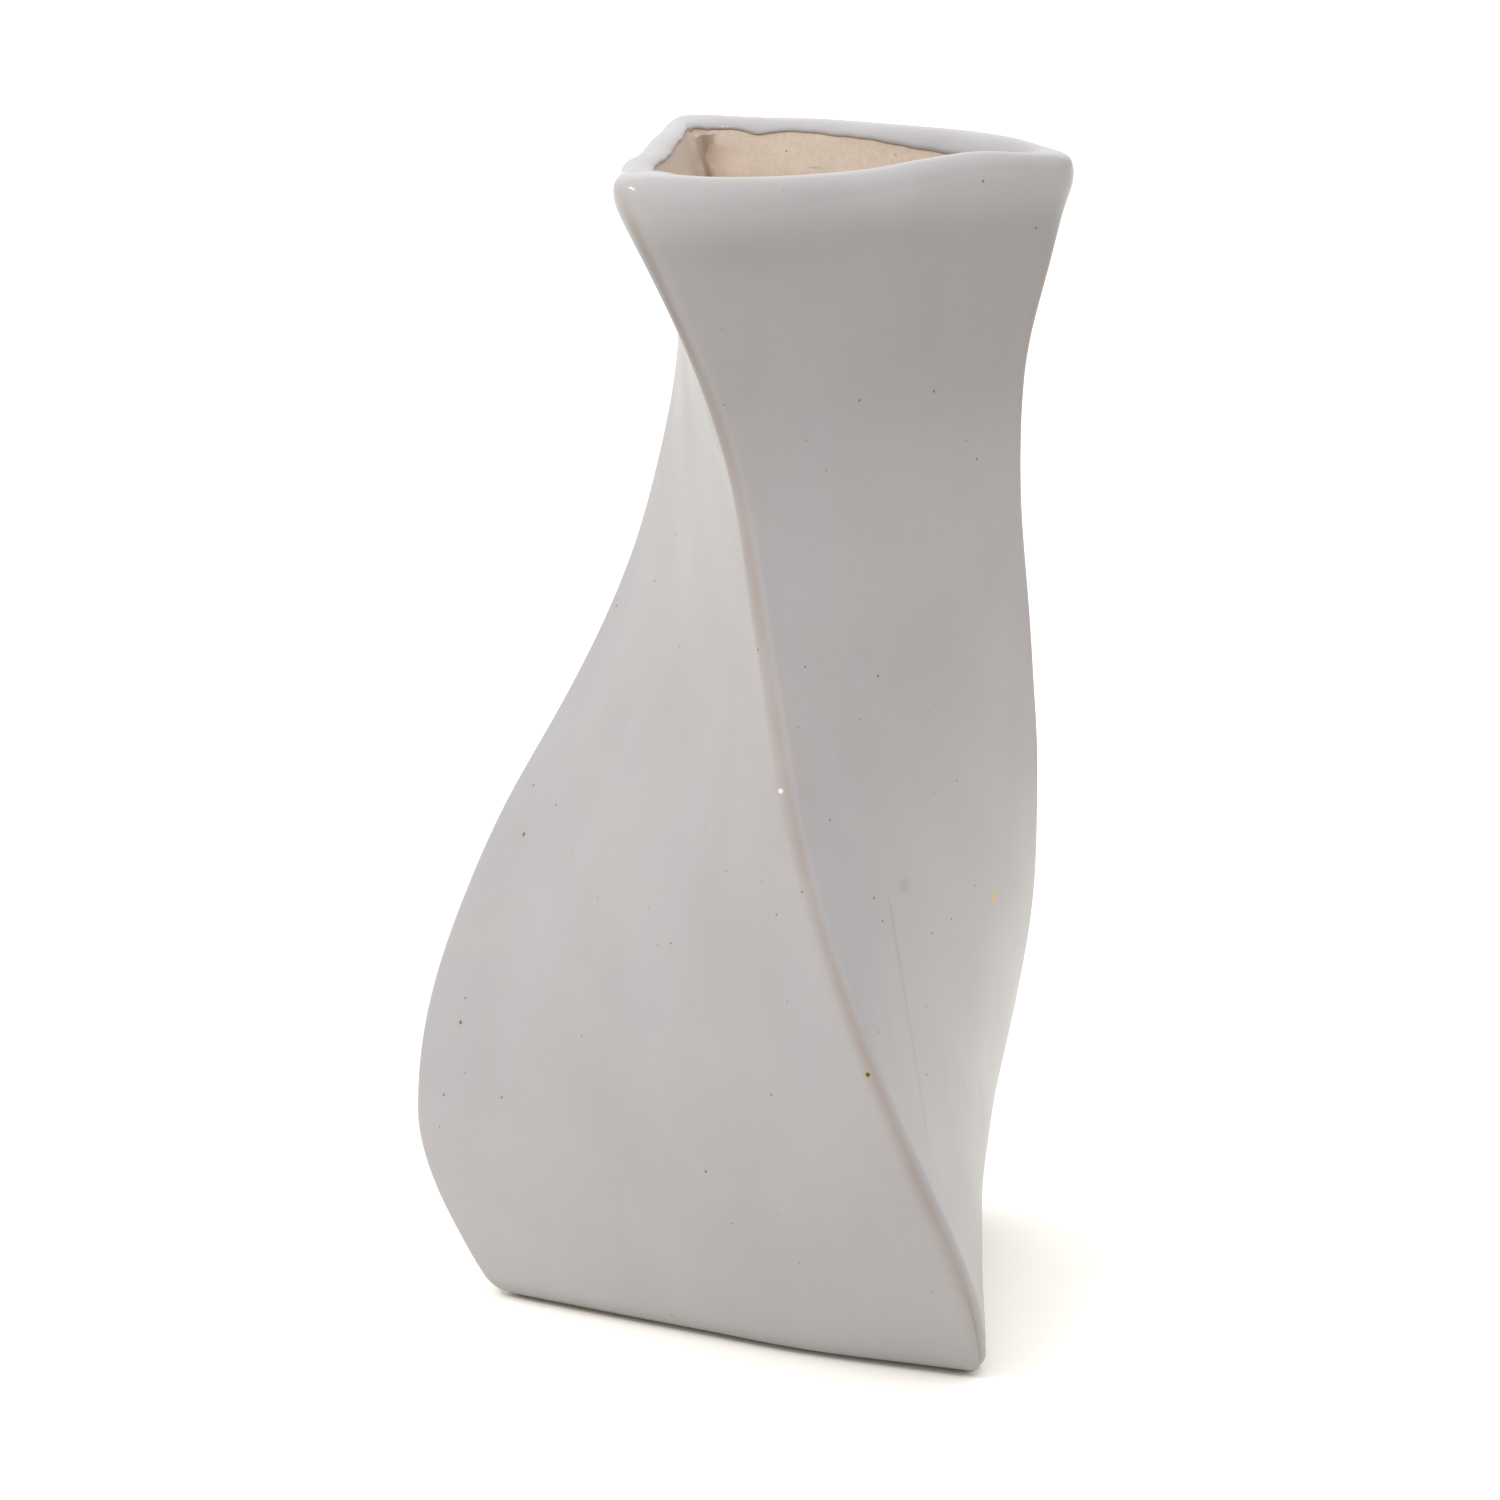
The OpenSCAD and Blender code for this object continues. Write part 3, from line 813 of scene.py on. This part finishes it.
def base_piece(material):
    """The floor slab: its rounded side, and an upper and a lower face of shrinking rings."""
    z = np.append(FOOT_ROUND * (1 - np.cos(np.radians(np.linspace(0, 90, 12)))), FLOOR_TOP)
    side = place(z[:, None], (foot_inset(z) + GLAZE)[:, None])
    rings = [0.97, 0.9, 0.7, 0.4, 0.15]
    stack = [side]
    for row in (side[-1], side[0]):
        middle = row.mean(0)
        stack.append(np.stack([middle + (row - middle) * share for share in rings]))
    points = np.concatenate([part.reshape(-1, 3) for part in stack])
    n_side, n_cap = len(z), len(rings)
    top = n_side * AROUND
    low = top + n_cap * AROUND
    end = low + n_cap * AROUND
    faces = np.concatenate([
        grid_faces(n_side, AROUND), row_faces((n_side - 1) * AROUND, top, AROUND),
        grid_faces(n_cap, AROUND, top), row_faces(low, 0, AROUND),
        grid_faces(n_cap, AROUND, low, flip=True)])
    top_cap = list(range(low - AROUND, low))
    low_cap = list(range(end - AROUND, end))[::-1]
    piece = make_object("base_floor_slab", points, faces.tolist() + [top_cap, low_cap], material)
    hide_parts("base_slab")
    return piece, "bare_clay"


def build():
    clay = clay_material("bisque_clay", (0.94, 0.94, 0.94))
    coil_clay = clay_material("bisque_clay_coils", (0.93, 0.90, 0.90))
    # bare foot clay, darkened to about half as painted contact shadow along the bottom edge
    foot_clay_shadowed = clay_material("bisque_clay_foot_painted_shadow", (0.50, 0.47, 0.40))
    made = [
        glaze_piece(glaze_material()),
        wall_piece("clay_wall_right", "wall_slab_right", 0, clay),
        wall_piece("clay_wall_rear", "wall_slab_rear", 1, clay),
        wall_piece("clay_wall_front", "wall_slab_front", 2, clay),
        seam_piece("inside_coil_front_right", "seam_coil_front_right", 0, coil_clay),
        seam_piece("inside_coil_rear", "seam_coil_rear", 1, coil_clay),
        seam_piece("inside_coil_left", "seam_coil_left", 2, coil_clay),
        floor_coil_piece(coil_clay),
        lip_piece(clay),
        base_piece(foot_clay_shadowed),
    ]
    for piece, slot in made:
        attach(piece, "root")


# ---------------------------------------------------------------------------
# Stage, light and camera, in metres
# ---------------------------------------------------------------------------
FLOOR_HALF = 6.0
WORLD_LEAN = (-0.20, -0.10, 0.97)           # direction in which the surroundings get brighter
WORLD_RANGE = (-0.35, 1.0, 0.90, 2.20)      # from and to along it, and the strengths there
KEY_AT = (-0.9, -1.0, 1.4)
KEY_AIM = (0, 0, 0.1)
KEY_SIZE = (0.60, 0.25)
KEY_WATTS = 13.5
CAMERA_AT = (0.0, -1.0, 0.3391)
CAMERA_DOWN = 13.584                        # degrees below level
CAMERA_LEFT = 0.452                         # degrees to the left
SENSOR = 36.0                               # its width and the focal length, in millimetres
LENS = 144.95


def add_floor():
    corners = [(-1, -1, 0), (1, -1, 0), (1, 1, 0), (-1, 1, 0)]
    points = np.array(corners) * FLOOR_HALF / MM
    make_object("floor", points, [[0, 1, 2, 3]], floor_material())


def add_key_light():
    light = bpy.data.lights.new("key", "AREA")
    light.shape = "RECTANGLE"
    light.size, light.size_y = KEY_SIZE
    light.energy = KEY_WATTS
    obj = bpy.data.objects.new("key", light)
    bpy.context.scene.collection.objects.link(obj)
    obj.location = KEY_AT
    aim = mathutils.Vector(KEY_AIM) - mathutils.Vector(KEY_AT)
    obj.rotation_euler = aim.to_track_quat("-Z", "Y").to_euler()


def add_world():
    """White surroundings, brighter overhead and a little brighter from the left and the front."""
    world = bpy.data.worlds.new("studio")
    world.use_nodes = True
    tree = world.node_tree
    background = tree.nodes["Background"]
    background.inputs[0].default_value = (1, 1, 1, 1)
    direction = tree.nodes.new("ShaderNodeTexCoord").outputs["Generated"]
    lift = tree.nodes.new("ShaderNodeVectorMath")
    lift.operation = "DOT_PRODUCT"
    lift.inputs[1].default_value = WORLD_LEAN
    tree.links.new(direction, lift.inputs[0])
    strength = tree.nodes.new("ShaderNodeMapRange")
    strength.interpolation_type = "SMOOTHSTEP"
    tree.links.new(lift.outputs["Value"], strength.inputs[0])
    for i, value in enumerate(WORLD_RANGE):
        strength.inputs[i + 1].default_value = value
    tree.links.new(strength.outputs[0], background.inputs[1])
    bpy.context.scene.world = world


def add_camera():
    camera = bpy.data.cameras.new("camera")
    camera.sensor_width = SENSOR
    camera.lens = LENS
    obj = bpy.data.objects.new("camera", camera)
    bpy.context.scene.collection.objects.link(obj)
    obj.location = CAMERA_AT
    obj.rotation_euler = (math.radians(90 - CAMERA_DOWN), 0, math.radians(CAMERA_LEFT))
    bpy.context.scene.camera = obj


add_camera()
build()
add_floor()
add_world()
add_key_light()
bpy.context.scene.view_settings.view_transform = "Standard"
bpy.context.scene.view_settings.look = "None"
